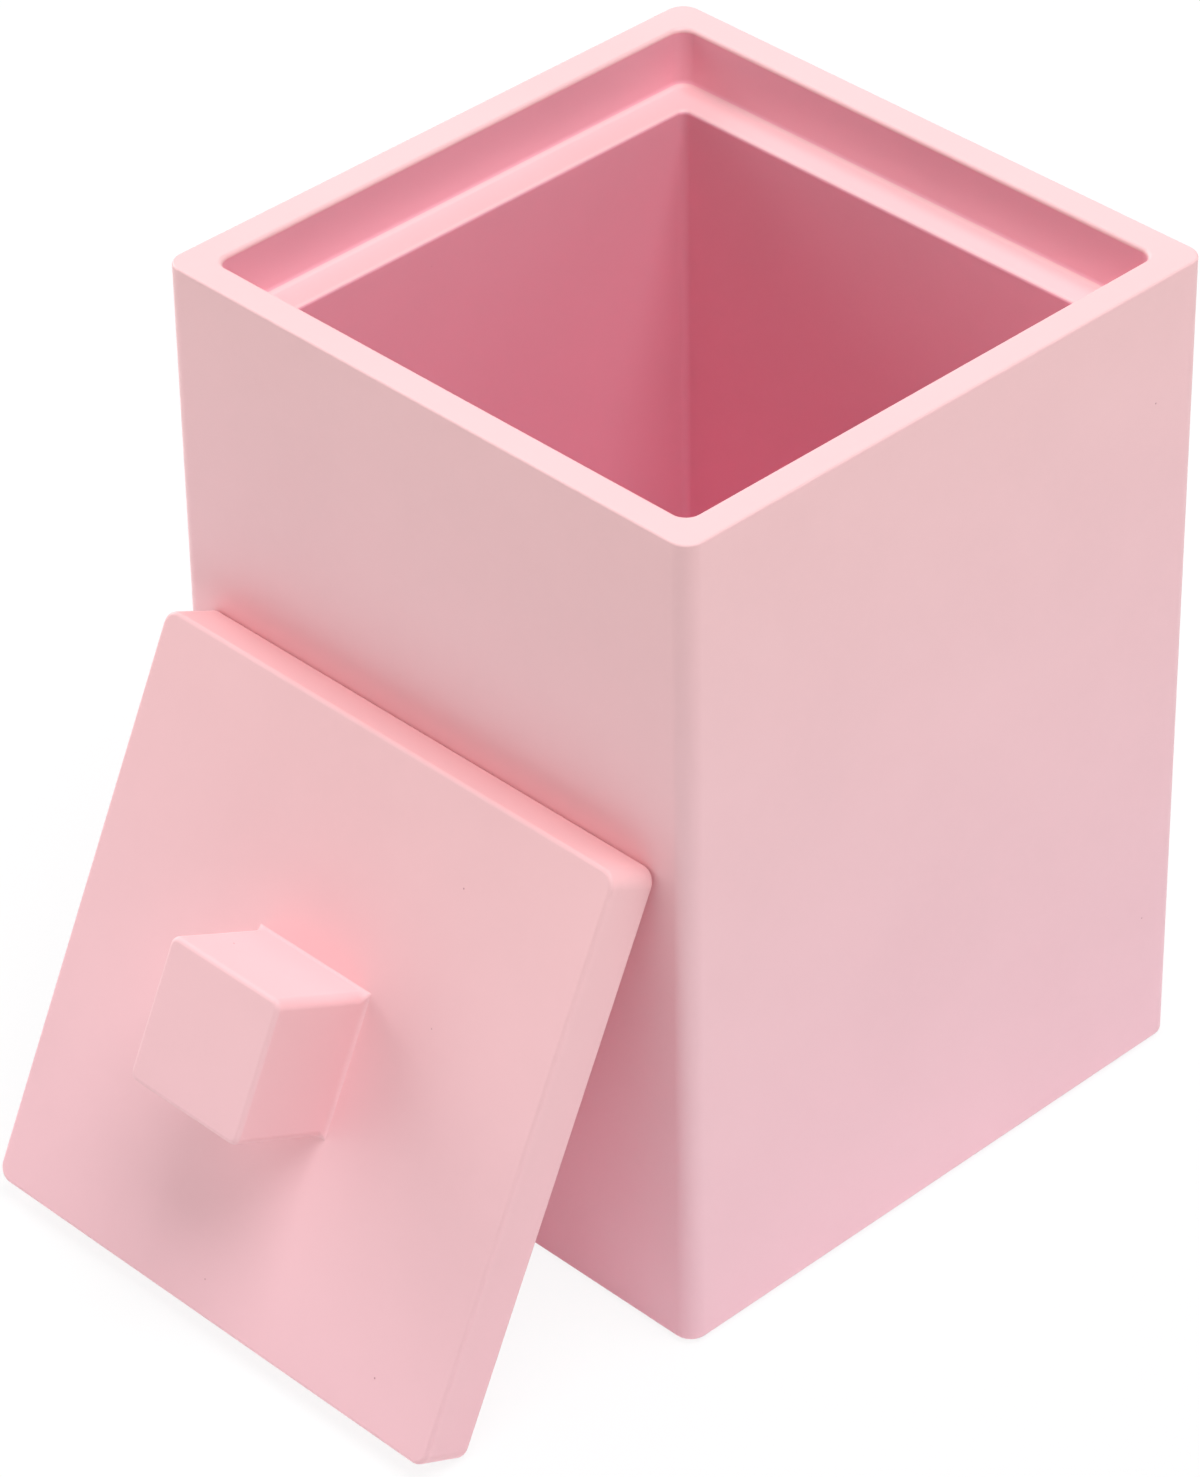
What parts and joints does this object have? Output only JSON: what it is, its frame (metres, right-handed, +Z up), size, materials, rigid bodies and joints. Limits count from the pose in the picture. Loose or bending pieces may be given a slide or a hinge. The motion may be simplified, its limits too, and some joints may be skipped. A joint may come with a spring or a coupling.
{
  "type": "cotton swab holder",
  "caption": "Square resin canister for cotton swabs, with a stepped mouth and a loose lid with a square knob, leaning on its front wall.",
  "frame": {"origin": "on the surface that the canister stands on, under the middle of the box", "axes": "+Z up out of the canister's mouth, -Y towards the wall that the lid leans on, +X along that wall to the right seen from the lid"},
  "size_m": [0.0762, 0.1121, 0.102],
  "materials": {
    "pink_resin": "satin cast resin, a soft pink that runs through the piece",
    "insert_brass": "machined brass",
    "screw_steel": "bright zinc-plated steel",
    "pad_rubber": "soft translucent white"
  },
  "bodies": {
    "canister": {"box": "pink_resin", "foot_pad_1": "pad_rubber", "foot_pad_2": "pad_rubber", "foot_pad_3": "pad_rubber", "foot_pad_4": "pad_rubber"},
    "cover": {"lid": "pink_resin", "knob": "pink_resin", "knob_insert": "insert_brass", "knob_screw": "screw_steel"}
  },
  "joints": [
    {"name": "lid_lift", "type": "slide", "parent": "canister", "child": "cover", "axis": [0, 0, 1], "range_m": [0, 0.11]}
  ]
}
